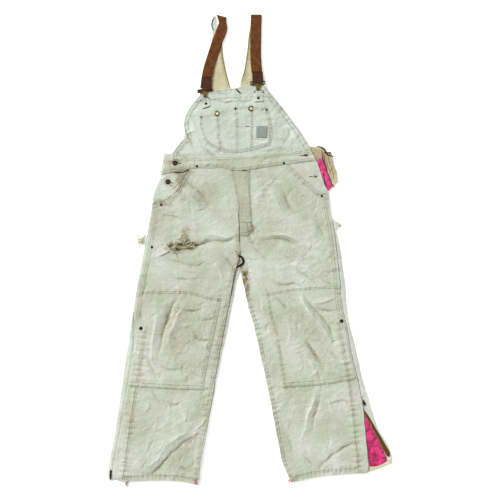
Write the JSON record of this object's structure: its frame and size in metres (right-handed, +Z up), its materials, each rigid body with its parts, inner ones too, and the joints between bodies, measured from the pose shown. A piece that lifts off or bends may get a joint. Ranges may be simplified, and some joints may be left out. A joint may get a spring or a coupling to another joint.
{
  "type": "quilt-lined bib overalls, laid flat",
  "caption": "Worn, stained and bleached bib overalls laid flat face up, with knee patches, elastic straps, a bib pocket, one open hip and one open leg zip showing pink quilted lining.",
  "frame": {"origin": "centre of the garment's outline on the surface it lies on", "axes": "+X to the wearer's left, +Y from the hems to the straps, +Z up from the surface, out of the front of the garment"},
  "size_m": [0.9684, 1.5998, 0.0154],
  "materials": {
    "duck": "cotton duck bleached off-white, worn and washed",
    "duck_bib": "the same duck, cooler and less soiled",
    "duck_worn": "the same duck, greyer on the fly",
    "duck_inside": "tan inside face of the duck",
    "lining": "pink nylon quilting with a slight sheen",
    "elastic": "brown woven elastic, matt",
    "elastic_end": "the same webbing doubled and darker",
    "zip_tape": "brown zip tape with metal teeth",
    "label_cloth": "plain grey woven patch, bare",
    "brass": "stamped brass, dulled",
    "nickel": "plated wire",
    "dark_rivet": "oxidised pressed rivet",
    "brown_button": "oxidised tack button and snap"
  },
  "bodies": {
    "root": {"back_leg_right": "duck", "back_leg_left": "duck", "back_waistband": "duck", "front_leg_right": "duck", "front_leg_left": "duck", "zip_placket_right": "duck", "zip_placket_left": "duck", "hem_band_right": "duck", "hem_band_left": "duck", "hip_facing_right": "duck", "hip_facing_left": "duck", "front_waistband": "duck", "knee_patch_right": "duck", "knee_patch_left": "duck", "tool_loop_right": "duck", "tool_loop_left": "duck", "arm_tip_right": "duck_bib", "bib_front": "duck_bib", "bib_pocket": "duck_bib", "strap_tab_right": "duck_bib", "strap_tab_left": "duck_bib", "fly": "duck_worn", "back_bib": "duck_inside", "hip_flap_left": "duck_inside", "back_facing_left": "duck_inside", "lining_hip": "lining", "lining_leg": "lining", "strap_right": "elastic", "strap_left": "elastic", "strap_end_right": "elastic_end", "strap_end_left": "elastic_end", "zip_strip_left": "zip_tape", "zip_end_right": "zip_tape", "label_patch": "label_cloth", "slide_right": "brass", "slide_left": "brass", "hook_right": "brass", "hook_left": "brass", "pocket_stud_right": "brass", "pocket_stud_left": "brass", "ring_right": "nickel", "ring_left": "nickel", "pocket_rivet_right": "dark_rivet", "pocket_rivet_middle": "dark_rivet", "pocket_rivet_left": "dark_rivet", "tab_rivet_right": "dark_rivet", "tab_rivet_left": "dark_rivet", "waist_rivet_right": "dark_rivet", "waist_rivet_left": "dark_rivet", "slash_rivet_right": "dark_rivet", "slash_rivet_left": "dark_rivet", "side_rivet_right": "dark_rivet", "patch_rivet_right": "dark_rivet", "zip_slider_left": "dark_rivet", "waist_button_right": "brown_button", "hip_button_right": "brown_button", "waist_button_left": "brown_button", "hip_button_left": "brown_button", "leg_snap_right": "brown_button", "leg_snap_left": "brown_button"}
  },
  "joints": []
}
